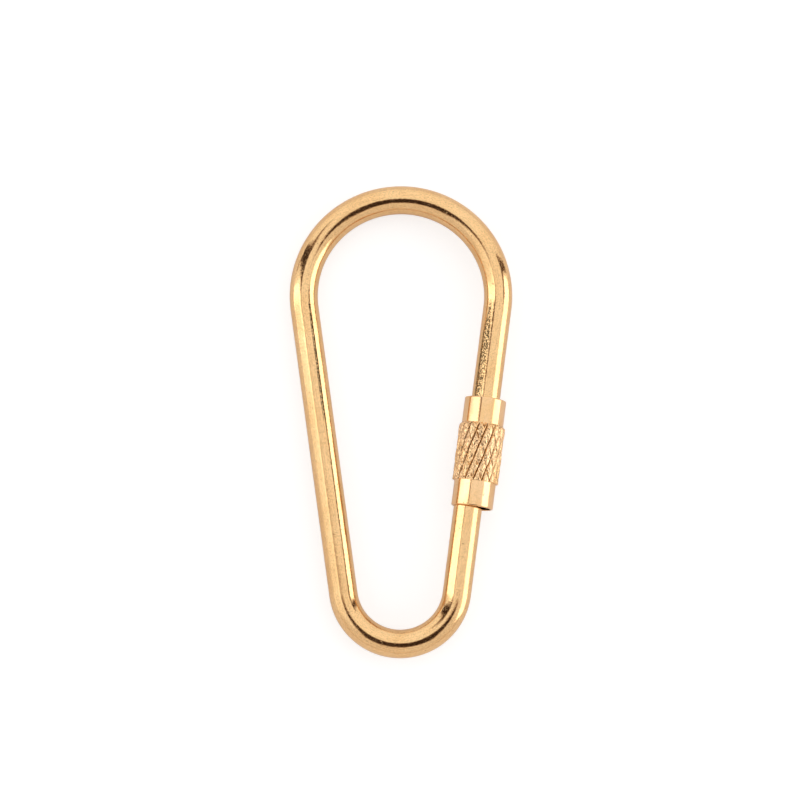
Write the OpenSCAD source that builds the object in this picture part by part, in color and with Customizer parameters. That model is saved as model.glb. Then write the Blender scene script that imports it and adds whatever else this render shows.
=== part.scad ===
// Screw-lock carabiner keyring: one bent brass rod, closed by a knurled sleeve nut.
// The loop lies flat: +Y points to the big bow, +X to the gate side, +Z up.
// The origin is the middle of the footprint, level with the lowest point of the knurl.

/* [Rod] */
// Diameter of the rod
rod_d = 4.0; // [3.8:0.05:4.0]
// Centreline radius of the big bow
bow_r = 13.6; // [12.5:0.1:15]
// Centreline radius of the small bow, where the keys hang
eye_r = 7.9; // [7:0.1:9]
// Distance between the centres of the two bows
bow_to_eye = 40.8; // [39:0.2:46]
// How far the free limb has sprung in, towards the middle of the loop
gate_set_in = 0.55; // [0:0.05:0.55]
// Chamfer on each end of the rod
end_chamfer = 0.4; // [0.2:0.05:0.6]

/* [Sleeve nut] */
// Length of the sleeve nut
nut_len = 15.3; // [14.5:0.1:15.8]
// Straight rod showing between the big bow and the sleeve nut
nut_from_bow = 13.0; // [11.5:0.1:13.5]
// Diameter of the plain collar at each end
collar_d = 5.8; // [5.7:0.05:6.1]
// Length of each plain collar
collar_len = 3.6; // [3:0.1:4.4]
// Diameter over the crests of the knurl
knurl_d = 6.5; // [6.3:0.05:7]
// Slope at each end of the knurled band
knurl_chamfer = 0.3; // [0.1:0.05:0.35]
// Chamfer on the outer edge of each end face
face_chamfer = 0.15; // [0.05:0.05:0.2]
// Bore that slides over the free end of the rod
slide_bore_d = 5.2; // [5.2:0.05:5.3]

/* [Thread] */
// Pitch of the thread
thread_pitch = 0.7; // [0.5:0.05:0.75]
// Depth of the thread
thread_depth = 0.28; // [0.15:0.01:0.3]
// Length of the thread on the end of the rod
thread_len = 3.0; // [2.6:0.1:3.2]
// Depth of the threaded bore, from the top of the sleeve nut
threaded_bore_len = 3.2; // [3.2:0.1:3.6]
// How much smaller than the rod the crests of its thread are, in diameter
thread_relief = 0.16; // [0.12:0.01:0.2]
// Radial clearance between the two threads
thread_clearance = 0.06; // [0.03:0.01:0.08]

/* [Gate] */
// How far the free end reaches into the sleeve nut when it is closed
end_overlap = 2.3; // [1.5:0.1:3]

/* [Hidden] */
$fn = 96;
BRASS = [0.87, 0.66, 0.40];
TURNED_BRASS = [0.93, 0.74, 0.48];

// Both limbs lean by the same angle, and touch the big bow where it ends.
taper = asin((bow_r - eye_r - gate_set_in / 2) / bow_to_eye);
eye_x = -gate_set_in / (2 * cos(taper));
limb_len = bow_to_eye * cos(taper);
limb_len_left = limb_len + eye_x * sin(taper);
limb_len_gate = limb_len - eye_x * sin(taper);

// The footprint's middle, measured from the centre of the big bow.
middle_y = (bow_r - bow_to_eye - eye_r) / 2;
axis_z = knurl_d / 2;

// Places along the gate limb, measured down from the end of the big bow.
nut_top = nut_from_bow;
shoulder = nut_top + 0.12;
threaded_end = shoulder + thread_len;
free_end = nut_top + nut_len - end_overlap;

rod_r = rod_d / 2;
// Bending thins the rod a little, so each bow ends inside the limb that it runs into.
bow_rod_r = rod_r - 0.01;
lap = 0.1;
thread_crest_r = rod_r - thread_relief / 2;
nut_crest_r = thread_crest_r + thread_clearance;
nut_mouth_r = rod_r + 0.3;
// Half the width of a groove with 60 degree flanks.
groove_half = thread_depth * tan(30);

// Puts a part in the frame of the big bow's centre.
module in_frame() {
    translate([0, -middle_y, axis_z]) children();
}

// +Z runs down the gate limb, +X points out of the loop.
module on_gate_limb(set_in = 0) {
    rotate([0, 0, -taper]) translate([bow_r - set_in, 0, 0]) rotate([90, 0, 0]) children();
}

// +Z runs down the long limb, +X points into the loop.
module on_long_limb() {
    rotate([0, 0, taper]) translate([-bow_r, 0, 0]) rotate([90, 0, 0]) children();
}

module bow(radius, from_angle, sweep) {
    rotate([0, 0, from_angle]) rotate_extrude(angle = sweep)
        translate([radius, 0]) circle(r = bow_rod_r);
}

// Straight rod that runs a lap past its start, and past its end if asked to.
module limb(length, end_lap) {
    translate([0, 0, -lap]) cylinder(r = rod_r, h = lap + length + end_lap);
}

// The rings stand for the thread's turns: each is one V groove.
function grooves(crest_r, root_r, first, count) = [
    for (i = [0 : count - 1], step = [-1, 0, 1])
        [step == 0 ? root_r : crest_r, first + i * thread_pitch + step * groove_half]
];

// Turned end of the gate limb that the sleeve nut screws onto.
module threaded_tip() {
    turns = floor((thread_len - end_chamfer - groove_half) / thread_pitch);
    rotate_extrude() polygon(concat(
        [[0, -lap], [thread_crest_r, -lap]],
        grooves(thread_crest_r, thread_crest_r - thread_depth, thread_pitch / 2, turns),
        [[thread_crest_r, thread_len - end_chamfer], [thread_crest_r - end_chamfer, thread_len],
         [0, thread_len]]
    ));
}

// Plain stub of the free limb, with a chamfered end that enters the sleeve nut.
module free_tip(length) {
    rotate_extrude() polygon([
        [0, 0], [rod_r - end_chamfer, 0], [rod_r, end_chamfer], [rod_r, length], [0, length]
    ]);
}

// One rod, bent into two bows with a gap between its ends.
module bent_rod() {
    color(BRASS) in_frame() {
        bow(bow_r, -taper, 180 + 2 * taper);
        on_long_limb() limb(limb_len_left, lap);
        translate([eye_x, -bow_to_eye, 0]) bow(eye_r, 180 + taper, 180 - 2 * taper);
        on_gate_limb(gate_set_in) translate([0, 0, free_end]) free_tip(limb_len_gate - free_end + lap);
        on_gate_limb() limb(shoulder, 0);
        on_gate_limb() translate([0, 0, shoulder]) threaded_tip();
    }
}

// Sleeve with two collars, a knurled band, a short thread and a long plain bore.
module sleeve_nut() {
    collar_r = collar_d / 2;
    knurl_r = knurl_d / 2;
    bore_r = slide_bore_d / 2;
    knurl_end = nut_len - collar_len;
    mouth_depth = nut_mouth_r - nut_crest_r;
    turns = floor((threaded_bore_len - mouth_depth - groove_half) / thread_pitch);
    outside = [
        [nut_mouth_r, 0],
        [collar_r - face_chamfer, 0],
        [collar_r, face_chamfer],
        [collar_r, collar_len],
        [knurl_r, collar_len + knurl_chamfer],
        [knurl_r, knurl_end],
        [collar_r, knurl_end],
        [collar_r, nut_len - face_chamfer],
        [collar_r - face_chamfer, nut_len]
    ];
    inside = concat(
        [[nut_crest_r, mouth_depth]],
        grooves(nut_crest_r, nut_crest_r + thread_depth, mouth_depth + thread_pitch / 2, turns),
        [[nut_crest_r, threaded_bore_len], [bore_r, threaded_bore_len],
         [bore_r, nut_len - face_chamfer], [bore_r + face_chamfer / 2, nut_len]]
    );
    back_up = [for (i = [len(inside) - 1 : -1 : 0]) inside[i]];
    color(TURNED_BRASS) in_frame() on_gate_limb() translate([0, 0, nut_top])
        rotate_extrude() polygon(concat(outside, back_up));
}

bent_rod();
sleeve_nut();
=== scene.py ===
"""Screw-lock carabiner keyring: the finished look of one bent brass rod and its knurled sleeve nut.

Lengths are in metres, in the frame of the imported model: +Y points to the big bow, +X to the gate
side and +Z up.
"""

import math

import bmesh
import bpy
from bpy.props import FloatProperty, FloatVectorProperty, IntProperty, PointerProperty
from bpy.types import Operator, Panel, PropertyGroup
from mathutils import Matrix, Vector, noise


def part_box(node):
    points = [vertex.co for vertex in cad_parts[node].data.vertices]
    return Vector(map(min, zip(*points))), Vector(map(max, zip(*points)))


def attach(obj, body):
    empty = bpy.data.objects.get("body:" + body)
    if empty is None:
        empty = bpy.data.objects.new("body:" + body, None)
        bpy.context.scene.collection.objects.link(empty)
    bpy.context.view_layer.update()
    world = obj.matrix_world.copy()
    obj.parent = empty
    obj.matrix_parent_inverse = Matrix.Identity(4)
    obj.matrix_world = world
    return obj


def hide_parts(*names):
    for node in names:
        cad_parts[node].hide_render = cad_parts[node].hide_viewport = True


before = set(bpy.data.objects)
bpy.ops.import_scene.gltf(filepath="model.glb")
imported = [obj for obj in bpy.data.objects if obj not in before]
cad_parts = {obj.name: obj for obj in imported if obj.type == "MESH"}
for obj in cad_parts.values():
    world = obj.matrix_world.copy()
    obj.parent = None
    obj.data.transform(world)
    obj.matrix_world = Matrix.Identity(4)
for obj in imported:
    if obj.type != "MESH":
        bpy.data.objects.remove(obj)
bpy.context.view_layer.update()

bl_info = {
    "name": "Screw-lock carabiner keyring",
    "version": (1, 0, 0),
    "blender": (4, 5, 0),
    "location": "View3D > Sidebar > Keyring",
    "description": "Builds a brass key carabiner with a knurled screw sleeve",
    "category": "Add Mesh",
}

MM = 0.001
ROD_LOW, ROD_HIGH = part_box("bent_rod")
NUT_LOW, NUT_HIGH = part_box("sleeve_nut")

# The finished rod is a hair under the CAD rod, so that no part of it stands proud.
ROD_RADIUS = (ROD_HIGH.z - ROD_LOW.z) / 2 - 0.01 * MM
BOW_RADIUS = (ROD_HIGH.x - ROD_LOW.x) / 2 - ROD_RADIUS
KNURL_RADIUS = (NUT_HIGH.z - NUT_LOW.z) / 2

# Room between the nut's top face and the shoulder of the rod's thread, and round the rod in the
# nut's mouth.
SHOULDER_GAP = 0.12 * MM
MOUTH_GAP = 0.3 * MM

# Faces that meet at more than this angle keep a sharp edge between them.
SHARP_ANGLE = math.radians(28)


# ---------------------------------------------------------------- sizes and colours


class RodSizes(PropertyGroup):
    """Sizes of the bent rod."""

    radius: FloatProperty(
        name="Rod radius", description="Radius of the round rod",
        default=ROD_RADIUS, min=0.0005, unit="LENGTH", precision=5)
    bow_radius: FloatProperty(
        name="Big bow radius", description="Centreline radius of the big bow",
        default=BOW_RADIUS, min=0.005, unit="LENGTH", precision=5)
    eye_radius: FloatProperty(
        name="Small bow radius", description="Centreline radius of the small bow",
        default=7.9 * MM, min=0.003, unit="LENGTH", precision=5)
    set_in: FloatProperty(
        name="Gate set-in", description="How far the free limb has sprung into the loop",
        default=0.55 * MM, min=0.0, unit="LENGTH", precision=5)
    end_chamfer: FloatProperty(
        name="End chamfer", description="Chamfer on each end of the rod",
        default=0.4 * MM, min=0.0, unit="LENGTH", precision=5)
    sides: IntProperty(
        name="Sides", description="Faces around the rod", default=96, min=24, max=160)
    unevenness: FloatProperty(
        name="Unevenness", description="Depth of the hand-bent rod's gentle waves",
        default=0.010 * MM, min=0.0, unit="LENGTH", precision=6)


class SleeveSizes(PropertyGroup):
    """Sizes of the sleeve nut, and where it stands when it is closed."""

    from_bow: FloatProperty(
        name="Distance from bow", description="Straight rod between the big bow and the sleeve nut",
        default=13.0 * MM, min=0.001, unit="LENGTH", precision=5)
    length: FloatProperty(
        name="Length", description="Length of the sleeve nut",
        default=15.3 * MM, min=0.005, unit="LENGTH", precision=5)
    collar_radius: FloatProperty(
        name="Collar radius", description="Radius of the plain collars",
        default=2.9 * MM, min=0.001, unit="LENGTH", precision=5)
    collar_length: FloatProperty(
        name="Collar length", description="Length of each plain collar",
        default=3.6 * MM, min=0.0005, unit="LENGTH", precision=5)
    knurl_radius: FloatProperty(
        name="Knurl radius", description="Radius over the crests of the knurl",
        default=KNURL_RADIUS, min=0.001, unit="LENGTH", precision=5)
    grooves: IntProperty(
        name="Knurl grooves", description="Grooves of each hand around the knurl",
        default=16, min=8, max=30)
    main_depth: FloatProperty(
        name="Main groove depth", description="Depth of the grooves that lean to the right",
        default=0.20 * MM, min=0.0, unit="LENGTH", precision=5)
    cross_depth: FloatProperty(
        name="Cross groove depth", description="Depth of the grooves that lean to the left",
        default=0.20 * MM, min=0.0, unit="LENGTH", precision=5)
    bore_radius: FloatProperty(
        name="Bore radius", description="Radius of the long plain bore",
        default=2.6 * MM, min=0.001, unit="LENGTH", precision=5)
    end_overlap: FloatProperty(
        name="End overlap", description="How far the rod's free end reaches into the closed nut",
        default=2.3 * MM, min=0.0, unit="LENGTH", precision=5)


class ThreadSizes(PropertyGroup):
    """Sizes of the thread inside the sleeve nut."""

    pitch: FloatProperty(
        name="Pitch", description="Pitch of the thread",
        default=0.7 * MM, min=0.0002, unit="LENGTH", precision=5)
    depth: FloatProperty(
        name="Depth", description="Depth of the thread",
        default=0.28 * MM, min=0.0, unit="LENGTH", precision=5)
    rod_crest: FloatProperty(
        name="Rod crest radius", description="Crest radius of the thread on the rod",
        default=1.92 * MM, min=0.001, unit="LENGTH", precision=5)
    nut_crest: FloatProperty(
        name="Nut crest radius", description="Crest radius of the thread in the nut",
        default=1.98 * MM, min=0.001, unit="LENGTH", precision=5)
    rod_length: FloatProperty(
        name="Length on rod", description="Length of the thread on the rod",
        default=3.0 * MM, min=0.001, unit="LENGTH", precision=5)
    nut_length: FloatProperty(
        name="Length in nut", description="Depth of the threaded bore",
        default=3.2 * MM, min=0.001, unit="LENGTH", precision=5)


class BrassFinish(PropertyGroup):
    """Colours and polish of the brass."""

    light: FloatVectorProperty(
        name="Clean brass", description="Colour of freshly polished brass",
        default=(0.945, 0.625, 0.312), size=3, min=0.0, max=1.0, subtype="COLOR")
    turned: FloatVectorProperty(
        name="Turned brass", description="Colour of the turned sleeve nut",
        default=(0.945, 0.640, 0.365), size=3, min=0.0, max=1.0, subtype="COLOR")
    warm: FloatVectorProperty(
        name="Handled brass", description="Colour of brass that has been handled",
        default=(0.905, 0.570, 0.265), size=3, min=0.0, max=1.0, subtype="COLOR")
    # This colour is real dirt in the pits; in the knurl's grooves it is also painted shade standing
    # in for the shadowed groove walls.
    grime_and_groove_shade: FloatVectorProperty(
        name="Grime", description="Colour of the dirt in pits and grooves",
        default=(0.150, 0.072, 0.024), size=3, min=0.0, max=1.0, subtype="COLOR")
    scuff: FloatVectorProperty(
        name="Scuff", description="Colour of the specks in the scuffed strips",
        default=(0.028, 0.018, 0.006), size=3, min=0.0, max=1.0, subtype="COLOR")
    rod_roughness: FloatProperty(
        name="Rod roughness", description="Roughness of the polished rod",
        default=0.045, min=0.0, max=1.0, subtype="FACTOR")
    sleeve_roughness: FloatProperty(
        name="Sleeve roughness", description="Roughness of the turned collars",
        default=0.06, min=0.0, max=1.0, subtype="FACTOR")


class StudioSetup(PropertyGroup):
    """Camera and light of the studio."""

    distance: FloatProperty(
        name="Camera distance", description="Distance from the camera to the loop",
        default=0.45, min=0.1, unit="LENGTH")
    tilt: FloatProperty(
        name="Camera tilt", description="Angle between the camera's view and straight down",
        default=math.radians(8.0), subtype="ANGLE")
    lens: FloatProperty(
        name="Lens", description="Focal length of the camera in millimetres",
        default=145.35, min=20.0)
    aim: FloatVectorProperty(
        name="Aim", description="Point of the loop's plane at the middle of the view",
        default=(-0.00019, 0.00281), size=2, unit="LENGTH", precision=5)
    roll: FloatProperty(
        name="Camera roll", description="Turn of the camera about its own view",
        default=math.radians(-0.22), subtype="ANGLE")
    brightness: FloatProperty(
        name="Brightness", description="Strength of the light tent", default=1.0, min=0.0)


# ---------------------------------------------------------------- the loop's geometry


class Loop:
    """Places along the rod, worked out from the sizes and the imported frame."""

    def __init__(self, scene):
        rod = scene.keyring_rod
        sleeve = scene.keyring_sleeve
        bow_centre_y = ROD_HIGH.y - rod.radius - rod.bow_radius
        bow_to_eye = bow_centre_y - (ROD_LOW.y + rod.radius + rod.eye_radius)
        self.taper = math.asin((rod.bow_radius - rod.eye_radius - rod.set_in / 2) / bow_to_eye)
        shift = rod.set_in / 2 * math.tan(self.taper)
        self.long_limb = bow_to_eye * math.cos(self.taper) - shift
        self.gate_limb = bow_to_eye * math.cos(self.taper) + shift
        self.shoulder = sleeve.from_bow + SHOULDER_GAP
        self.free_end = sleeve.from_bow + sleeve.length - sleeve.end_overlap
        self.centre = Vector((0.0, bow_centre_y, (ROD_LOW.z + ROD_HIGH.z) / 2))
        self.bow_start = (self.gate_limb - self.free_end + self.long_limb
                          + rod.eye_radius * (math.pi - 2 * self.taper))
        self.gate_start = self.bow_start + rod.bow_radius * (math.pi + 2 * self.taper)
        self.rod = rod

    def gate_frame(self, along, set_in=0.0):
        """Frame on the gate limb: +Z runs down it, +X points out of the loop and +Y up."""
        lean = Matrix.Rotation(-self.taper, 4, "Z")
        place = Matrix.Translation((self.rod.bow_radius - set_in, 0.0, 0.0))
        upright = Matrix.Rotation(math.radians(90), 4, "X")
        start = Matrix.Translation(self.centre) @ lean @ place @ upright
        return start @ Matrix.Translation((0, 0, along))


def straight_step(length):
    """Moves a frame along its own +Z."""
    return Matrix.Translation((0.0, 0.0, length))


def bend_step(radius, angle):
    """Carries a frame round a centre that lies on its -X side."""
    out = Matrix.Translation((radius, 0.0, 0.0))
    back = Matrix.Translation((-radius, 0.0, 0.0))
    return back @ Matrix.Rotation(-angle, 4, "Y") @ out


def steps_along(length, spacing):
    """Even steps down a straight length, about a spacing apart, and their true spacing."""
    count = max(1, round(length / spacing))
    return [straight_step(length / count)] * count, length / count


def steps_round(radius, angle, spacing):
    """Even steps round a bend, about a spacing apart, and their true spacing."""
    count = max(1, round(radius * angle / spacing))
    return [bend_step(radius, angle / count)] * count, radius * angle / count


def smoothstep(low, high, value):
    """0 below low, 1 above high, and a smooth rise between them."""
    t = min(1.0, max(0.0, (value - low) / (high - low)))
    return t * t * (3.0 - 2.0 * t)


def thread_cut(angle, along, thread):
    """Depth of the thread's V groove at a place on the cylinder: a right-hand helix."""
    root_flat = 0.06 * MM
    flank_angle = math.radians(30)
    turn = along / thread.pitch - angle / (2 * math.pi)
    from_root = abs(turn - math.floor(turn) - 0.5) * thread.pitch
    flank = (from_root - root_flat) / math.tan(flank_angle)
    return max(0.0, thread.depth - max(0.0, flank))


# ---------------------------------------------------------------- mesh helpers


def ring_of(bm, radius, sides, frame_matrix):
    """Makes the closed disc that starts a rod and returns the vertices of its rim."""
    made = bmesh.ops.create_circle(
        bm, cap_ends=True, cap_tris=True, segments=sides, radius=radius, matrix=frame_matrix)
    return [v for v in made["verts"] if v.is_boundary]


def grow(bm, rim, move):
    """Extrudes a rim of vertices by one step and returns the new rim."""
    rim_set = set(rim)
    edges = [e for e in {e for v in rim for e in v.link_edges}
             if e.is_boundary and e.verts[0] in rim_set and e.verts[1] in rim_set]
    made = bmesh.ops.extrude_edge_only(bm, edges=edges)
    fresh = [g for g in made["geom"] if isinstance(g, bmesh.types.BMVert)]
    bmesh.ops.transform(bm, matrix=move, verts=fresh, space=Matrix.Identity(4))
    return fresh


def soften(bm, limit):
    """Smooth faces, with sharp edges where two faces meet at more than the limit."""
    for face in bm.faces:
        face.smooth = True
    for edge in bm.edges:
        edge.smooth = edge.calc_face_angle(0.0) < limit


def finish_object(context, bm, name, material, body, node):
    """Makes the object, gives it its material and ties it to its CAD body."""
    bmesh.ops.recalc_face_normals(bm, faces=bm.faces)
    mesh = bpy.data.meshes.new(name)
    bm.to_mesh(mesh)
    bm.free()
    mesh.materials.append(material)
    piece = bpy.data.objects.new(name, mesh)
    context.scene.collection.objects.link(piece)
    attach(piece, body)
    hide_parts(node)


# ---------------------------------------------------------------- shader helpers


class Nodes:
    """Short ways to add and join shader nodes in one tree."""

    def __init__(self, tree):
        self.tree = tree

    def add(self, kind, **settings):
        """A new node of a kind, with its settings."""
        node = self.tree.nodes.new(kind)
        for key, value in settings.items():
            setattr(node, key, value)
        return node

    def plug(self, node, **inputs):
        """Sets or links inputs by name; underscores stand for spaces."""
        for key, value in inputs.items():
            self.feed(node.inputs[key.replace("_", " ")], value)
        return node

    def feed(self, socket, value):
        """Links a socket to a value's node, or sets it to a plain value."""
        if isinstance(value, bpy.types.NodeSocket):
            self.tree.links.new(value, socket)
        else:
            socket.default_value = value

    def attribute(self, name):
        """A value that the mesh carries at each vertex."""
        return self.add("ShaderNodeAttribute", attribute_type="GEOMETRY", attribute_name=name)

    def math(self, operation, a, b=None):
        """The result of one Math node on plain or linked values."""
        node = self.add("ShaderNodeMath", operation=operation)
        for socket, value in zip(node.inputs, (a, b)):
            if value is not None:
                self.feed(socket, value)
        return node.outputs[0]

    def smooth(self, value, low, high):
        """A smooth 0 to 1 as value goes from low to high."""
        node = self.add("ShaderNodeMapRange", interpolation_type="SMOOTHSTEP", clamp=True)
        for key, item in (("Value", value), ("From Min", low), ("From Max", high),
                          ("To Min", 0.0), ("To Max", 1.0)):
            self.feed(node.inputs[key], item)
        return node.outputs["Result"]

    def blend(self, factor, a, b):
        """Mixes two colours."""
        node = self.add("ShaderNodeMix", data_type="RGBA")
        self.feed(node.inputs[0], factor)
        self.feed(node.inputs[6], a)
        self.feed(node.inputs[7], b)
        return node.outputs[2]

    def noise(self, vector, scale, detail=2.0, roughness=0.5):
        """Noise with about `scale` waves in a metre."""
        node = self.add("ShaderNodeTexNoise")
        self.plug(node, Vector=vector, Scale=scale, Detail=detail, Roughness=roughness)
        return node.outputs["Fac"]

    def stretch(self, vector, scale):
        """Scales a place on each axis, which draws a pattern out where the scale is small."""
        node = self.add("ShaderNodeMapping", vector_type="POINT")
        self.plug(node, Vector=vector, Scale=scale)
        return node.outputs["Vector"]


def new_group(name, inputs, outputs):
    """A shader node group with float, vector or colour sockets."""
    kinds = {"float": "NodeSocketFloat", "vector": "NodeSocketVector", "color": "NodeSocketColor"}
    tree = bpy.data.node_groups.new(name, "ShaderNodeTree")
    for label, kind in inputs:
        tree.interface.new_socket(label, in_out="INPUT", socket_type=kinds[kind])
    for label, kind in outputs:
        tree.interface.new_socket(label, in_out="OUTPUT", socket_type=kinds[kind])
    return tree


def drawn_grain_group():
    """Lines along a drawn rod, soft waves left by polishing, and fine scratches across."""
    name = "drawn_grain"
    if name in bpy.data.node_groups:
        return bpy.data.node_groups[name]
    tree = new_group(
        name,
        [("Vector", "vector"), ("Lines", "float"), ("Waves", "float"), ("Scratches", "float")],
        [("Height", "float"), ("Streaks", "float"), ("Specks", "float")])
    n = Nodes(tree)
    start = n.add("NodeGroupInput")
    end = n.add("NodeGroupOutput")
    along = n.stretch(start.outputs["Vector"], (1.0, 1.0, 0.045))
    fine = n.noise(along, 9000.0, 3.0, 0.6)
    broad = n.noise(along, 2600.0, 2.0, 0.5)
    waves = n.noise(start.outputs["Vector"], 900.0, 2.0, 0.45)
    peel = n.noise(start.outputs["Vector"], 3200.0, 2.0, 0.5)
    speckle = n.noise(n.stretch(start.outputs["Vector"], (1.0, 1.0, 0.7)), 9500.0, 2.0, 0.65)

    # Hairline scratches follow one level of a noise that is stretched on a slant.
    hair_level, hair_width = 0.62, 0.012
    slanted = n.add("ShaderNodeMapping", vector_type="POINT")
    n.plug(slanted, Vector=start.outputs["Vector"], Rotation=(0.5, 0.9, 0.4),
           Scale=(1.0, 0.03, 1.0))
    hair = n.noise(slanted.outputs["Vector"], 7000.0, 1.0, 0.5)
    off_level = n.math("ABSOLUTE", n.math("SUBTRACT", hair, hair_level))
    hair_lines = n.math("SUBTRACT", 1.0, n.smooth(off_level, 0.0, hair_width))

    lines = n.math("MULTIPLY", n.math("ADD", n.math("MULTIPLY", fine, 0.5), broad),
                   start.outputs["Lines"])
    small = n.math("ADD", n.math("MULTIPLY", peel, 0.50), n.math("MULTIPLY", speckle, 0.42))
    soft = n.math("MULTIPLY", n.math("ADD", waves, small), start.outputs["Waves"])
    cuts = n.math("MULTIPLY", hair_lines, start.outputs["Scratches"])
    n.feed(end.inputs["Height"], n.math("SUBTRACT", n.math("ADD", lines, soft), cuts))
    n.feed(end.inputs["Streaks"], n.smooth(broad, 0.35, 0.7))
    dark = n.math("ADD", speckle, n.math("MULTIPLY", fine, 0.35))
    n.feed(end.inputs["Specks"], n.smooth(dark, 0.60, 0.82))
    return tree


def pits_group():
    """Small scattered pits: a mask of their dark floors and the height that they take away."""
    name = "casting_pits"
    if name in bpy.data.node_groups:
        return bpy.data.node_groups[name]
    tree = new_group(
        name, [("Vector", "vector"), ("Scale", "float"), ("Share", "float"), ("Size", "float")],
        [("Mask", "float")])
    n = Nodes(tree)
    start = n.add("NodeGroupInput")
    end = n.add("NodeGroupOutput")
    cells = n.add("ShaderNodeTexVoronoi", feature="F1")
    wobble = n.add("ShaderNodeVectorMath", operation="ADD")
    ragged = n.add("ShaderNodeTexNoise")
    n.plug(ragged, Vector=start.outputs["Vector"], Scale=9000.0, Detail=1.0)
    ragged_by = 0.09 * MM
    spread = n.add("ShaderNodeVectorMath", operation="SCALE")
    n.feed(spread.inputs[0], ragged.outputs["Color"])
    spread.inputs["Scale"].default_value = ragged_by
    n.feed(wobble.inputs[0], start.outputs["Vector"])
    n.feed(wobble.inputs[1], spread.outputs[0])
    n.plug(cells, Vector=wobble.outputs[0], Scale=start.outputs["Scale"], Randomness=1.0)
    split = n.add("ShaderNodeSeparateColor")
    n.feed(split.inputs[0], cells.outputs["Color"])
    chosen = n.math("LESS_THAN", split.outputs[0], start.outputs["Share"])
    own_size = n.math("MULTIPLY", start.outputs["Size"], n.math("ADD", split.outputs[1], 0.35))
    from_middle = n.math("DIVIDE", cells.outputs["Distance"], own_size)
    dip = n.math("SUBTRACT", 1.0, n.smooth(from_middle, 0.4, 1.0))
    n.feed(end.inputs["Mask"], n.math("MULTIPLY", dip, chosen))
    return tree


def handling_group():
    """Slow changes of tone where fingers have dulled and warmed the metal."""
    name = "handling_tone"
    if name in bpy.data.node_groups:
        return bpy.data.node_groups[name]
    tree = new_group(name, [("Vector", "vector")], [("Warmth", "float"), ("Dullness", "float")])
    n = Nodes(tree)
    start = n.add("NodeGroupInput")
    end = n.add("NodeGroupOutput")
    patch = n.noise(start.outputs["Vector"], 220.0, 3.0, 0.55)
    smear = n.noise(n.stretch(start.outputs["Vector"], (1.0, 1.0, 0.25)), 1300.0, 2.0, 0.5)
    warmed = n.math("ADD", patch, n.math("MULTIPLY", smear, 0.5))
    dulled = n.math("ADD", smear, n.math("MULTIPLY", patch, 0.4))
    n.feed(end.inputs["Warmth"], n.smooth(warmed, 0.55, 1.0))
    n.feed(end.inputs["Dullness"], n.smooth(dulled, 0.6, 1.0))
    return tree


def rub_group():
    """A speckled, scuffed strip along the inner side of a limb.

    Start and Length are measured along the rod. Middle, Drift and Widening are shares of Radius.
    """
    name = "rub_mark"
    if name in bpy.data.node_groups:
        return bpy.data.node_groups[name]
    tree = new_group(name, [("Vector", "vector"), ("Start", "float"), ("Length", "float"),
                            ("Radius", "float"), ("Middle", "float"), ("Drift", "float"),
                            ("Widening", "float")],
                     [("Mask", "float")])
    n = Nodes(tree)
    start = n.add("NodeGroupInput").outputs
    end = n.add("NodeGroupOutput")
    split = n.add("ShaderNodeSeparateXYZ")
    n.feed(split.inputs[0], start["Vector"])
    along = n.math("DIVIDE", n.math("SUBTRACT", split.outputs[2], start["Start"]), start["Length"])
    across = n.math("DIVIDE", split.outputs[0], start["Radius"])
    middle = n.math("ADD", n.math("MULTIPLY", along, start["Drift"]), start["Middle"])
    least_width = 0.06
    widened = n.math("MULTIPLY", n.smooth(along, 0.0, 0.4), start["Widening"])
    width = n.math("ADD", widened, least_width)
    away = n.math("DIVIDE", n.math("ABSOLUTE", n.math("SUBTRACT", across, middle)), width)
    top_side = n.smooth(split.outputs[1], 0.0, 0.1 * MM)
    strip = n.math("MULTIPLY", n.smooth(away, 1.3, 0.7), top_side)
    ends = n.math("MULTIPLY", n.smooth(along, -0.05, 0.05), n.smooth(along, 1.1, 1.0))
    strip = n.math("MULTIPLY", strip, ends)
    speck = n.noise(n.stretch(start["Vector"], (1.0, 1.0, 0.7)), 6400.0, 2.0, 0.65)
    edge = n.smooth(n.math("ABSOLUTE", n.math("SUBTRACT", away, 0.85)), 0.35, 0.05)
    level = n.math("ADD", speck, n.math("MULTIPLY", edge, 0.06))
    n.feed(end.inputs["Mask"], n.math("MULTIPLY", strip, n.smooth(level, 0.42, 0.56)))
    return tree


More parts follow.
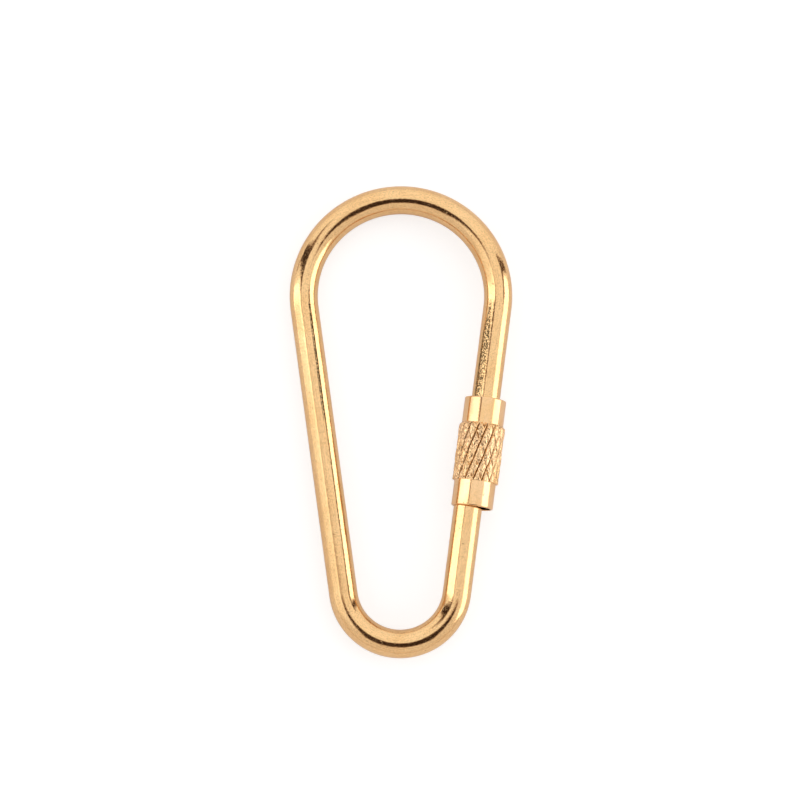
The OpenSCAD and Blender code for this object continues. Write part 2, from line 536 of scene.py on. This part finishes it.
def brass(name, finish, colour, roughness, lines, waves, scratches, mottle, pit_share,
          groove_dirt_and_shade=0.0, rubs=()):
    """Polished brass with grain, pits and handling.

    A groove setting above 0 darkens the knurl's deep grooves with grime and painted shade and adds
    its torn skin, and rubs adds scuffed strips.
    """
    material = bpy.data.materials.new(name)
    material.use_nodes = True
    tree = material.node_tree
    tree.nodes.clear()
    n = Nodes(tree)
    place = n.attribute("unbent").outputs["Vector"]

    grain = n.add("ShaderNodeGroup", node_tree=drawn_grain_group())
    n.plug(grain, Vector=place, Lines=lines, Waves=waves, Scratches=scratches)
    pits = n.add("ShaderNodeGroup", node_tree=pits_group())
    n.plug(pits, Vector=place, Scale=1500.0, Share=pit_share, Size=0.13)
    specks = n.add("ShaderNodeGroup", node_tree=pits_group())
    n.plug(specks, Vector=place, Scale=4200.0, Share=pit_share * 1.6, Size=0.33)
    handling = n.add("ShaderNodeGroup", node_tree=handling_group())
    n.plug(handling, Vector=place)

    shallow = n.math("MULTIPLY", specks.outputs["Mask"], 0.7)
    pit_mask = n.math("MAXIMUM", pits.outputs["Mask"], shallow)

    # Colour.
    clean, warm, dirt_and_shade, scuff = (
        tuple(c) + (1.0,) for c in (colour, finish.warm, finish.grime_and_groove_shade, finish.scuff))
    tone = n.blend(handling.outputs["Warmth"], clean, warm)
    tone = n.blend(n.math("MULTIPLY", grain.outputs["Specks"], mottle), tone, dirt_and_shade)
    tone = n.blend(n.math("MULTIPLY", pit_mask, 0.8), tone, dirt_and_shade)
    for start, length, radius, middle, drift, widening in rubs:
        mark = n.add("ShaderNodeGroup", node_tree=rub_group())
        n.plug(mark, Vector=place, Start=start, Length=length, Radius=radius, Middle=middle,
               Drift=drift, Widening=widening)
        tone = n.blend(n.math("MULTIPLY", mark.outputs["Mask"], 0.95), tone, scuff)

    # Roughness, and the height of the skin in hundredths of a millimetre.
    dull = n.math("ADD", n.math("MULTIPLY", handling.outputs["Dullness"], 0.045),
                  n.math("MULTIPLY", grain.outputs["Streaks"], 0.02))
    rough = n.math("ADD", dull, roughness)
    rough = n.math("ADD", rough, n.math("MULTIPLY", pit_mask, 0.35))
    height = n.math("SUBTRACT", grain.outputs["Height"], n.math("MULTIPLY", pit_mask, 2.2))

    if groove_dirt_and_shade > 0.0:
        cut = n.attribute("cut").outputs["Fac"]
        knurled = n.attribute("knurled").outputs["Fac"]
        torn = n.noise(n.stretch(place, (1.0, 1.0, 0.6)), 4600.0, 2.0, 0.65)
        # Painted shade and grime: the deep parts of the knurl's grooves are darkened towards the
        # grime colour, standing in for the shade on the groove walls as well as for dirt.
        in_groove = n.math("MULTIPLY", n.smooth(n.math("ADD", cut, torn), 0.85, 1.50),
                           groove_dirt_and_shade)
        tone = n.blend(in_groove, tone, dirt_and_shade)
        most_torn = n.math("MULTIPLY", knurled, 0.70)
        torn_spots = n.math("MULTIPLY", n.smooth(torn, 0.60, 0.68), most_torn)
        tone = n.blend(torn_spots, tone, dirt_and_shade)
        rough = n.math("ADD", rough, n.math("MULTIPLY", in_groove, 0.2))
        rough = n.math("ADD", rough, n.math("MULTIPLY", knurled, 0.03))
        tear = n.math("MULTIPLY", n.math("MULTIPLY", torn, knurled), 8.0)
        height = n.math("ADD", height, tear)

    height_unit = 0.01 * MM
    bump = n.add("ShaderNodeBump")
    bump.inputs["Strength"].default_value = 1.0
    bump.inputs["Distance"].default_value = height_unit
    n.feed(bump.inputs["Height"], height)
    shader = n.add("ShaderNodeBsdfPrincipled")
    shader.inputs["Metallic"].default_value = 1.0
    n.plug(shader, Base_Color=tone, Roughness=n.math("MINIMUM", rough, 0.9),
           Normal=bump.outputs["Normal"])
    output = n.add("ShaderNodeOutputMaterial")
    n.feed(output.inputs["Surface"], shader.outputs[0])
    return material


# ---------------------------------------------------------------- the bent rod


def rod_rings(bm, loop, sides):
    """Sweeps the rod from its free end to its threaded end.

    Returns its rings, each as its rim, its frame and its distance along the rod.
    """
    rod = loop.rod
    thread = bpy.context.scene.keyring_thread
    place = loop.gate_frame(loop.free_end, rod.set_in)
    rim = ring_of(bm, rod.radius - rod.end_chamfer, sides, place)
    rings = [(rim, place, 0.0)]

    def advance(moves, spacing):
        rim, place, distance = rings[-1]
        for move in moves:
            following = place @ move
            rim = grow(bm, rim, following @ place.inverted())
            place = following
            distance += spacing
            rings.append((rim, place, distance))

    end_spacing = 0.1 * MM
    bend_spacing = 0.35 * MM
    limb_spacing = 0.45 * MM
    rings_per_turn = 20
    advance(*steps_along(rod.end_chamfer, end_spacing))
    advance(*steps_along(loop.gate_limb - loop.free_end - rod.end_chamfer, limb_spacing))
    advance(*steps_round(rod.eye_radius, math.pi - 2 * loop.taper, bend_spacing))
    advance(*steps_along(loop.long_limb, limb_spacing))
    advance(*steps_round(rod.bow_radius, math.pi + 2 * loop.taper, bend_spacing))
    advance(*steps_along(loop.shoulder, limb_spacing))
    advance(*steps_along(thread.rod_length, thread.pitch / rings_per_turn))
    return rings


def shape_rod(loop, rings, unbent):
    """Gives every ring its true radius: chamfered ends, gentle waves, and the thread."""
    rod = loop.rod
    thread = bpy.context.scene.keyring_thread
    wave_size = 2.2 * MM
    wave_stretch = 0.6
    total = rings[-1][2]
    thread_start = total - thread.rod_length
    for rim, place, distance in rings:
        back = place.inverted()
        for vert in rim:
            local = back @ vert.co
            angle = math.atan2(local.y, local.x)
            around = Vector((math.cos(angle), math.sin(angle), 0.0)) * rod.radius
            spot = Vector((around.x, around.y, distance * wave_stretch))
            wave = noise.noise(spot / wave_size) * 0.5 + 0.5
            radius = rod.radius - rod.unevenness * wave
            from_tip = total - distance
            if distance < rod.end_chamfer:
                radius -= rod.end_chamfer - distance
            if distance > thread_start + thread.pitch / 40:
                run_out = smoothstep(0.0, thread.pitch, distance - thread_start)
                radius = thread.rod_crest - thread_cut(angle, from_tip, thread) * run_out
                radius = min(radius, thread.rod_crest - rod.end_chamfer + from_tip)
            vert.co = place @ Vector((math.cos(angle) * radius, math.sin(angle) * radius, 0.0))
            vert[unbent] = Vector((around.x, around.y, distance))


class KEYRING_OT_bent_rod(Operator):
    """Bends one brass rod into the big bow, the small bow and the two limbs"""

    bl_idname = "keyring.bent_rod"
    bl_label = "Bent rod"

    def execute(self, context):
        scene = context.scene
        loop = Loop(scene)
        bm = bmesh.new()
        unbent = bm.verts.layers.float_vector.new("unbent")
        rings = rod_rings(bm, loop, scene.keyring_rod.sides)
        shape_rod(loop, rings, unbent)
        threaded_tip = [e for e in bm.edges if e.is_boundary]
        bmesh.ops.contextual_create(bm, geom=threaded_tip)
        soften(bm, SHARP_ANGLE)
        finish = scene.keyring_brass
        radius = loop.rod.radius
        # Each scuffed strip: start, length, rod radius, middle, drift and widening.
        above_nut = (loop.gate_start - 0.7 * MM, loop.shoulder + 0.6 * MM, radius,
                     -0.52, -0.08, 0.18)
        long_limb = (loop.bow_start + 1.0 * MM, -16 * MM, radius, -0.38, 0.03, 0.03)
        material = brass("brass_drawn_rod", finish, finish.light, finish.rod_roughness,
                         lines=0.30, waves=1.0, scratches=0.22, mottle=0.27, pit_share=0.03,
                         rubs=(above_nut, long_limb))
        finish_object(context, bm, "brass_rod", material, "loop", "bent_rod")
        return {"FINISHED"}


# ---------------------------------------------------------------- the sleeve nut


def sleeve_outline(sleeve, thread, rod_radius, knurl_rows, thread_rows):
    """Half section of the sleeve nut as (radius, height, cuts in the edge that follows)."""
    chamfer = 0.15 * MM
    rounding = 0.05 * MM
    tight = 0.04 * MM
    step = 0.3 * MM
    mouth = rod_radius + MOUTH_GAP
    mouth_depth = mouth - thread.nut_crest
    knurl_end = sleeve.length - sleeve.collar_length
    return [
        (mouth, 0.0, 0),
        (sleeve.collar_radius - chamfer, 0.0, 0),
        (sleeve.collar_radius - rounding, rounding, 0),
        (sleeve.collar_radius, chamfer, 0),
        (sleeve.collar_radius, chamfer + tight, 3),
        (sleeve.collar_radius, sleeve.collar_length - tight, 0),
        (sleeve.collar_radius, sleeve.collar_length, 1),
        (sleeve.knurl_radius, sleeve.collar_length + step, knurl_rows),
        (sleeve.knurl_radius, knurl_end, 0),
        (sleeve.collar_radius, knurl_end, 0),
        (sleeve.collar_radius, knurl_end + tight, 3),
        (sleeve.collar_radius, sleeve.length - chamfer - tight, 0),
        (sleeve.collar_radius, sleeve.length - chamfer, 0),
        (sleeve.collar_radius - rounding, sleeve.length - rounding, 0),
        (sleeve.collar_radius - chamfer, sleeve.length, 0),
        (sleeve.bore_radius + 0.07 * MM, sleeve.length, 0),
        (sleeve.bore_radius, sleeve.length - 0.1 * MM, 4),
        (sleeve.bore_radius, thread.nut_length, 0),
        (thread.nut_crest, thread.nut_length, thread_rows),
        (thread.nut_crest, mouth_depth, 0),
    ]


def knurl_cut(angle, along, sleeve, lead):
    """Depth of the deeper groove at a place on the knurl, and of the worn, torn skin there."""
    drift_size, wear_size, tear_size = 1.3 * MM, 1.0 * MM, 0.30 * MM
    drift_share = 0.07
    wear_shift = Vector((7.0, 3.0, 1.0))
    cross_lean, cross_shift = 1.35, 0.35
    main_width, cross_width = 0.28, 0.22
    main_crown, cross_crown = 0.08 * MM, 0.05 * MM
    below_crest = 0.005 * MM
    tear_depth = 0.12 * MM

    per_turn = sleeve.grooves / (2 * math.pi)
    place = Vector((math.cos(angle) * sleeve.knurl_radius,
                    math.sin(angle) * sleeve.knurl_radius, along))
    drift = noise.noise(place / drift_size) * drift_share
    main = (angle - lead * along) * per_turn + drift
    cross = (angle + cross_lean * lead * along) * per_turn + cross_shift - drift
    main_gap = abs(main - math.floor(main) - 0.5) * 2.0
    cross_gap = abs(cross - math.floor(cross) - 0.5) * 2.0
    worn = smoothstep(-0.25, 0.45, noise.noise(place / wear_size + wear_shift))
    middle = smoothstep(0.25, 0.6, main_gap)
    main_cut = sleeve.main_depth * max(0.0, 1.0 - main_gap / main_width)
    cross_cut = sleeve.cross_depth * max(0.0, 1.0 - cross_gap / cross_width)
    cross_cut *= 0.3 + 0.7 * worn * middle
    crown = main_crown * (1.0 - main_gap) + cross_crown * (1.0 - cross_gap) + below_crest
    tear = tear_depth * max(0.0, noise.noise(place / tear_size))
    return max(main_cut, cross_cut), crown + tear


class KEYRING_OT_sleeve_nut(Operator):
    """Turns the sleeve nut with its collars, knurl, thread and long bore"""

    bl_idname = "keyring.sleeve_nut"
    bl_label = "Sleeve nut"

    columns_per_groove = 24
    rows_per_turn = 12
    helix = math.radians(17)

    def execute(self, context):
        scene = context.scene
        loop = Loop(scene)
        sleeve = scene.keyring_sleeve
        thread = scene.keyring_thread
        columns = sleeve.grooves * self.columns_per_groove
        column_width = 2 * math.pi * sleeve.knurl_radius / columns
        band = sleeve.length - 2 * sleeve.collar_length
        knurl_rows = round(2 * band / (column_width / math.tan(self.helix)))
        thread_rows = round(thread.nut_length / (thread.pitch / self.rows_per_turn))

        bm = bmesh.new()
        unbent = bm.verts.layers.float_vector.new("unbent")
        cut_layer = bm.verts.layers.float.new("cut")
        knurled = bm.verts.layers.float.new("knurled")
        outline = sleeve_outline(sleeve, thread, scene.keyring_rod.radius, knurl_rows, thread_rows)
        corners = [bm.verts.new((radius, 0.0, height)) for radius, height, _ in outline]
        for index, (_, _, cuts) in enumerate(outline):
            start = corners[index]
            edge = bm.edges.new((start, corners[(index + 1) % len(corners)]))
            for left in range(cuts, 0, -1):
                start = bmesh.utils.edge_split(edge, start, 1 / (left + 1))[1]
        bmesh.ops.spin(
            bm, geom=bm.verts[:] + bm.edges[:], cent=(0, 0, 0), axis=(0, 0, 1), dvec=(0, 0, 0),
            angle=2 * math.pi, steps=columns, use_merge=True, use_duplicate=False)

        low = sleeve.collar_length
        high = sleeve.length - sleeve.collar_length
        lead = math.tan(self.helix) / sleeve.knurl_radius
        mouth_depth = scene.keyring_rod.radius + MOUTH_GAP - thread.nut_crest
        slack = 0.01 * MM
        deepest_share = 0.92
        for vert in bm.verts:
            radius = math.hypot(vert.co.x, vert.co.y)
            angle = math.atan2(vert.co.y, vert.co.x)
            along = vert.co.z
            new_radius = radius
            if radius > sleeve.collar_radius + slack and low < along <= high + slack:
                proud = radius - sleeve.collar_radius
                cut, skin = knurl_cut(angle, along, sleeve, lead)
                new_radius = radius - min(cut + skin, proud * deepest_share)
                vert[cut_layer] = cut / sleeve.main_depth
                vert[knurled] = 1.0
            elif radius < thread.nut_crest + slack:
                fade = smoothstep(0.0, thread.pitch, along - mouth_depth)
                fade *= smoothstep(0.0, thread.pitch, thread.nut_length - along)
                new_radius = radius + thread_cut(angle, along, thread) * fade
            vert.co.x = math.cos(angle) * new_radius
            vert.co.y = math.sin(angle) * new_radius
            vert[unbent] = Vector((vert.co.x, vert.co.y, along))
        bmesh.ops.transform(bm, matrix=loop.gate_frame(sleeve.from_bow), verts=bm.verts,
                            space=Matrix.Identity(4))
        soften(bm, SHARP_ANGLE)
        finish = scene.keyring_brass
        # The knurl's grooves are darkened with painted shade and grime.
        material = brass("brass_turned_sleeve", finish, finish.turned, finish.sleeve_roughness,
                         lines=0.05, waves=0.55, scratches=0.12, mottle=0.12, pit_share=0.03,
                         groove_dirt_and_shade=1.0)
        finish_object(context, bm, "knurled_sleeve", material, "sleeve", "sleeve_nut")
        return {"FINISHED"}


# ---------------------------------------------------------------- the studio

# Each shape of the light tent: place and half size in degrees from straight up, measured along
# +X and +Y, its turn in degrees, the softness of its edge, and its radiance.
TENT_SHAPES = (
    ("right_softbox", (92, 0), (39, 28), 10, 7, 2.4),
    ("left_softbox", (-57, 9), (33, 9), -7, 7, 2.3),
    ("left_softbox_corner", (-32, 4), (4, 6), 0, 3, 3.0),
    ("left_softbox_rim", (-24, 4), (2, 6), 0, 3, 0.40),
    ("left_apron", (-52, -8), (26, 14), 0, 14, 1.12),
    ("left_stand", (-42, 28), (28, 6.5), -30, 5, 0.05),
    ("left_stand_foot", (-87, 38), (16, 6), -4, 8, 0.35),
    ("left_clamp", (-25, 29), (4, 5.5), 0, 6, 0.10),
    ("right_stand", (70, 33), (30, 5), 20, 4, 0.10),
    ("right_lip", (47, 14), (4.5, 7), -10, 3, 0.12),
    ("camera_and_hands", (2, -15), (22, 16), -6, 7, 0.045),
)

# Radiance of the tent's wall between the shapes, on its two sides, and how much it loses low down.
WALL_LOWER, LOWER_LOSS = 0.84, 0.06
WALL_UPPER, UPPER_LOSS = 1.10, 0.16

# Tint of the tent where it is dark and where it is bright.
DARK_TINT = (1.0, 0.60, 0.42, 1.0)
BRIGHT_TINT = (1.0, 0.985, 0.97, 1.0)

# What the lens sees of the tent and the card, and what the brass reflects of the card.
SEEN_TENT = 1.05
SEEN_CARD = ((0.44, 0.44, 0.44, 1.0), (0.41, 0.41, 0.41, 1.0))
SEEN_CARD_LIFT = 0.70
REFLECTED_CARD = (0.95, 0.925, 0.915, 1.0)


def tent_radiance(n, up_axis):
    """Radiance of the light tent by direction, built from its soft shapes."""
    split = n.add("ShaderNodeSeparateXYZ")
    n.feed(split.inputs[0], up_axis)
    x, y, z = split.outputs
    flat = n.math("SQRT", n.math("ADD", n.math("MULTIPLY", x, x),
                                 n.math("ADD", n.math("MULTIPLY", y, y), 1e-9)))
    polar = n.math("MULTIPLY", n.math("ARCCOSINE", z), 180 / math.pi)
    across = n.math("DIVIDE", n.math("MULTIPLY", polar, x), flat)
    up = n.math("DIVIDE", n.math("MULTIPLY", polar, y), flat)
    lower_loss = n.math("MULTIPLY", n.smooth(polar, 60.0, 85.0), LOWER_LOSS)
    upper_loss = n.math("MULTIPLY", n.smooth(polar, 50.0, 110.0), UPPER_LOSS)
    lower = n.math("SUBTRACT", WALL_LOWER, lower_loss)
    upper = n.math("SUBTRACT", WALL_UPPER, upper_loss)
    side = n.smooth(up, -38.0, 25.0)
    radiance = n.math("ADD", n.math("MULTIPLY", upper, side),
                      n.math("MULTIPLY", lower, n.math("SUBTRACT", 1.0, side)))
    for _, (cx, cy), (half_x, half_y), turn, edge, value in TENT_SHAPES:
        cos_t = math.cos(math.radians(turn))
        sin_t = math.sin(math.radians(turn))
        dx = n.math("SUBTRACT", across, cx)
        dy = n.math("SUBTRACT", up, cy)
        along = n.math("ADD", n.math("MULTIPLY", dx, cos_t), n.math("MULTIPLY", dy, sin_t))
        beside = n.math("SUBTRACT", n.math("MULTIPLY", dy, cos_t), n.math("MULTIPLY", dx, sin_t))
        in_x = n.smooth(n.math("ABSOLUTE", along), half_x + edge / 2, half_x - edge / 2)
        in_y = n.smooth(n.math("ABSOLUTE", beside), half_y + edge / 2, half_y - edge / 2)
        mask = n.math("MULTIPLY", in_x, in_y)
        change = n.math("MULTIPLY", mask, n.math("SUBTRACT", value, radiance))
        radiance = n.math("ADD", radiance, change)
    return radiance


def build_tent(scene, strength):
    """Light tent around the object. What the lens sees of it directly is plain white."""
    world = bpy.data.worlds.new("light_tent")
    world.use_nodes = True
    world.node_tree.nodes.clear()
    n = Nodes(world.node_tree)
    direction = n.add("ShaderNodeTexCoord").outputs["Generated"]
    radiance = n.math("MULTIPLY", tent_radiance(n, direction), strength)
    lit = n.add("ShaderNodeBackground")
    n.feed(lit.inputs["Color"], n.blend(n.smooth(radiance, 0.05, 1.05), DARK_TINT, BRIGHT_TINT))
    n.feed(lit.inputs["Strength"], radiance)
    plain = n.add("ShaderNodeBackground")
    plain.inputs["Strength"].default_value = SEEN_TENT
    mix = n.add("ShaderNodeMixShader")
    n.feed(mix.inputs[0], n.add("ShaderNodeLightPath").outputs["Is Camera Ray"])
    n.feed(mix.inputs[1], lit.outputs[0])
    n.feed(mix.inputs[2], plain.outputs[0])
    n.feed(n.add("ShaderNodeOutputWorld").inputs["Surface"], mix.outputs[0])
    scene.world = world


def floor_material():
    """Matt white card, exposed brighter for the lens than for reflections."""
    material = bpy.data.materials.new("white_card")
    material.use_nodes = True
    material.node_tree.nodes.clear()
    n = Nodes(material.node_tree)
    grain = n.noise(n.add("ShaderNodeTexCoord").outputs["Object"], 700.0, 2.0)
    seen = n.add("ShaderNodeBsdfDiffuse")
    n.feed(seen.inputs["Color"], n.blend(n.math("MULTIPLY", grain, 0.02), *SEEN_CARD))
    lift = n.add("ShaderNodeEmission")
    lift.inputs["Strength"].default_value = SEEN_CARD_LIFT
    bright = n.add("ShaderNodeAddShader")
    n.feed(bright.inputs[0], seen.outputs[0])
    n.feed(bright.inputs[1], lift.outputs[0])
    reflected = n.add("ShaderNodeBsdfDiffuse")
    reflected.inputs["Color"].default_value = REFLECTED_CARD
    mix = n.add("ShaderNodeMixShader")
    n.feed(mix.inputs[0], n.add("ShaderNodeLightPath").outputs["Is Camera Ray"])
    n.feed(mix.inputs[1], reflected.outputs[0])
    n.feed(mix.inputs[2], bright.outputs[0])
    n.feed(n.add("ShaderNodeOutputMaterial").inputs["Surface"], mix.outputs[0])
    return material


def build_floor(context, loop):
    """A wide white card that the knurl and the far side of the big bow rest on."""
    floor_radius = 2.0
    sleeve = context.scene.keyring_sleeve
    rod = loop.rod
    lever = 2 * rod.bow_radius
    lean = math.asin((sleeve.knurl_radius - rod.radius) / lever)
    contact = loop.gate_frame(sleeve.from_bow + sleeve.length / 2)
    under = contact @ Matrix.Translation((0.0, -sleeve.knurl_radius, 0.0))
    tilt = Matrix.Rotation(-lean, 4, "Z")
    flat = Matrix.Rotation(math.radians(-90), 4, "X")
    bm = bmesh.new()
    bmesh.ops.create_circle(bm, cap_ends=True, segments=96, radius=floor_radius,
                            matrix=under @ tilt @ flat)
    mesh = bpy.data.meshes.new("floor")
    bm.to_mesh(mesh)
    bm.free()
    mesh.materials.append(floor_material())
    floor = bpy.data.objects.new("floor", mesh)
    context.scene.collection.objects.link(floor)


def build_camera(context, loop, studio):
    """Camera above the loop, tilted a little towards the small bow."""
    data = bpy.data.cameras.new("camera")
    data.lens = studio.lens
    data.clip_start = 0.01
    camera = bpy.data.objects.new("camera", data)
    context.scene.collection.objects.link(camera)
    aim = Vector((studio.aim[0], studio.aim[1], loop.centre.z))
    turn = Matrix.Rotation(studio.tilt, 4, "X") @ Matrix.Rotation(studio.roll, 4, "Z")
    back = Matrix.Translation((0, 0, studio.distance))
    camera.matrix_world = Matrix.Translation(aim) @ turn @ back
    context.scene.camera = camera


class KEYRING_OT_studio(Operator):
    """Sets up the white floor, the light tent and the camera"""

    bl_idname = "keyring.studio"
    bl_label = "Studio"

    def execute(self, context):
        scene = context.scene
        studio = scene.keyring_studio
        loop = Loop(scene)
        build_tent(scene, studio.brightness)
        build_floor(context, loop)
        build_camera(context, loop, studio)
        scene.view_settings.view_transform = "Standard"
        scene.view_settings.look = "None"
        return {"FINISHED"}


# ---------------------------------------------------------------- panel and registration


class KEYRING_PT_panel(Panel):
    """Lists the pieces and their sizes"""

    bl_label = "Keyring"
    bl_idname = "KEYRING_PT_panel"
    bl_space_type = "VIEW_3D"
    bl_region_type = "UI"
    bl_category = "Keyring"

    def draw(self, context):
        for title, attribute, operator in SECTIONS:
            box = self.layout.box()
            box.label(text=title)
            settings = getattr(context.scene, attribute)
            for key in settings.__annotations__:
                box.prop(settings, key)
            if operator:
                box.operator(operator)


SECTIONS = (
    ("Bent rod", "keyring_rod", "keyring.bent_rod"),
    ("Sleeve nut", "keyring_sleeve", "keyring.sleeve_nut"),
    ("Thread", "keyring_thread", None),
    ("Brass", "keyring_brass", None),
    ("Studio", "keyring_studio", "keyring.studio"),
)
SETTINGS = {
    "keyring_rod": RodSizes,
    "keyring_sleeve": SleeveSizes,
    "keyring_thread": ThreadSizes,
    "keyring_brass": BrassFinish,
    "keyring_studio": StudioSetup,
}
CLASSES = (*SETTINGS.values(), KEYRING_OT_bent_rod, KEYRING_OT_sleeve_nut, KEYRING_OT_studio,
           KEYRING_PT_panel)


def register():
    for cls in CLASSES:
        bpy.utils.register_class(cls)
    for attribute, cls in SETTINGS.items():
        setattr(bpy.types.Scene, attribute, PointerProperty(type=cls))


def unregister():
    for attribute in SETTINGS:
        delattr(bpy.types.Scene, attribute)
    for cls in reversed(CLASSES):
        bpy.utils.unregister_class(cls)


def main():
    register()
    bpy.ops.keyring.studio()
    bpy.ops.keyring.bent_rod()
    bpy.ops.keyring.sleeve_nut()
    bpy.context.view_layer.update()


if __name__ == "__main__":
    main()
